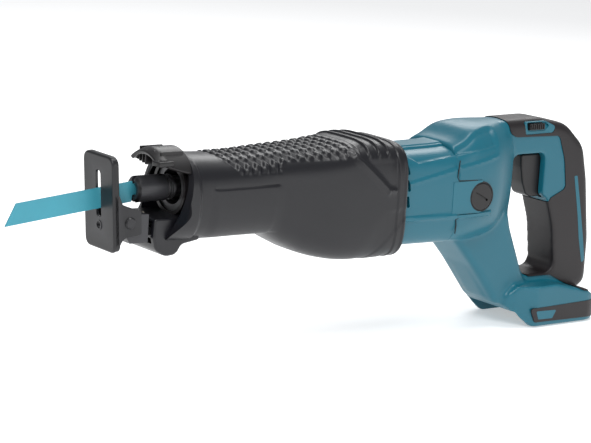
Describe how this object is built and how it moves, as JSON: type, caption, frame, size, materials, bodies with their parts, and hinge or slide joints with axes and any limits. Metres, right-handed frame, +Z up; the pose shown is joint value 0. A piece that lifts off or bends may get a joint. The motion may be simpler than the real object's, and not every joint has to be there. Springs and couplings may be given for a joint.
{
  "type": "cordless reciprocating saw",
  "caption": "Body-only cordless reciprocating saw: D-handle, trigger, brushed motor, bevel crank drive, rubber-booted nose, keyless blade clamp and swinging shoe.",
  "frame": {"origin": "middle of the battery rails, on the symmetry plane, at the underside of the foot", "axes": "-X forward along the blade stroke, +X towards the handle's back, +Y the tool's right side, +Z up"},
  "size_m": [0.563, 0.081, 0.1735],
  "materials": {
    "teal_plastic": "fine moulded texture",
    "black_rubber": "soft moulded rubber",
    "black_soft": "soft over-moulded grip",
    "black_plastic": "moulded",
    "cast_aluminium": "as cast",
    "black_steel": "black coated",
    "bright_steel": "machined",
    "blue_coated_steel": "coated",
    "brass": "machined",
    "copper_winding": "enamelled wire",
    "carbon": "pressed carbon",
    "bronze": "sintered",
    "clear_lens": "moulded",
    "board_green": "coated",
    "ferrite": "sintered"
  },
  "bodies": {
    "housing": {"gear_housing": "cast_aluminium", "gear_housing_cover": "cast_aluminium", "gear_housing_screws": "bright_steel", "insulation_boot": "black_rubber", "lamp_lens": "clear_lens", "slider_bushing": "bronze", "slider_seal": "black_rubber", "slider_guide_plate": "bright_steel", "crank_bearing": "bright_steel", "motor_housing": "teal_plastic", "motor_bearing_front": "bright_steel", "motor_bearing_rear": "bright_steel", "stator_yoke": "bright_steel", "stator_magnets": "ferrite", "fan_baffle": "black_plastic", "motor_end_bracket": "black_plastic", "brush_holders": "brass", "carbon_brushes": "carbon", "brush_springs": "bright_steel", "brush_cap_left": "black_plastic", "brush_cap_right": "black_plastic", "handle_shell_left": "teal_plastic", "handle_shell_right": "teal_plastic", "grip_skin_left": "black_soft", "grip_skin_right": "black_soft", "handle_screws": "bright_steel", "switch_body": "black_plastic", "lock_button_bezels": "teal_plastic", "terminal_block": "black_plastic", "terminal_blades": "brass", "control_board": "board_green", "shoe_lock_bolts": "bright_steel"},
    "slider": {"slider_shaft": "bright_steel", "saw_blade": "blue_coated_steel", "blade_clamp_pin": "bright_steel", "clamp_spring": "bright_steel"},
    "clamp_sleeve": {"blade_clamp_sleeve": "black_steel"},
    "clamp_lever": {"clamp_lever": "black_plastic"},
    "crank": {"crank_gear": "bright_steel", "crank_pin": "bright_steel", "crank_roller": "bright_steel"},
    "armature": {"motor_shaft": "bright_steel", "bevel_pinion": "bright_steel", "armature_core": "ferrite", "armature_windings": "copper_winding", "commutator": "copper_winding", "cooling_fan": "black_plastic"},
    "shoe_bracket": {"shoe_bracket": "black_steel", "shoe_pivot_pin": "bright_steel"},
    "shoe": {"shoe_plate": "black_steel"},
    "trigger": {"trigger": "black_plastic", "trigger_plunger": "black_plastic"},
    "lock_button": {"trigger_lock_button": "black_plastic"}
  },
  "joints": [
    {"name": "blade_stroke", "type": "slide", "parent": "housing", "child": "slider", "axis": [-1, 0, 0], "range_m": [-0.016, 0.016]},
    {"name": "crank_spin", "type": "hinge", "parent": "housing", "child": "crank", "pos_m": [-0.222, 0, 0.1], "axis": [0, 0, 1], "range_deg": [-91, 91]},
    {"name": "motor_spin", "type": "hinge", "parent": "housing", "child": "armature", "pos_m": [-0.1, 0, 0.1165], "axis": [1, 0, 0], "range_deg": [-380, 380]},
    {"name": "clamp_lever_turn", "type": "hinge", "parent": "housing", "child": "clamp_lever", "pos_m": [-0.37, 0, 0.136], "axis": [1, 0, 0], "range_deg": [0, 60], "stiffness_Nm_per_rad": 0.02},
    {"name": "clamp_sleeve_turn", "type": "hinge", "parent": "slider", "child": "clamp_sleeve", "pos_m": [-0.39, 0, 0.136], "axis": [1, 0, 0], "range_deg": [-1, 61]},
    {"name": "shoe_extend", "type": "slide", "parent": "housing", "child": "shoe_bracket", "axis": [-1, 0, 0], "range_m": [0, 0.03]},
    {"name": "shoe_swing", "type": "hinge", "parent": "shoe_bracket", "child": "shoe", "pos_m": [-0.4118, 0, 0.1154], "axis": [0, 1, 0], "range_deg": [-12, 10]},
    {"name": "trigger_pull", "type": "slide", "parent": "housing", "child": "trigger", "axis": [1, 0, 0], "range_m": [0, 0.007], "stiffness_N_per_m": 900, "springref_m": -0.002},
    {"name": "lock_button_slide", "type": "slide", "parent": "housing", "child": "lock_button", "axis": [0, 1, 0], "range_m": [0, 0.004]}
  ],
  "couplings": [
    {"joint": "crank_spin", "follows": "blade_stroke", "rad_per_m": 98.175},
    {"joint": "motor_spin", "follows": "blade_stroke", "rad_per_m": 392.7},
    {"joint": "clamp_sleeve_turn", "follows": "clamp_lever_turn", "ratio": 1}
  ]
}
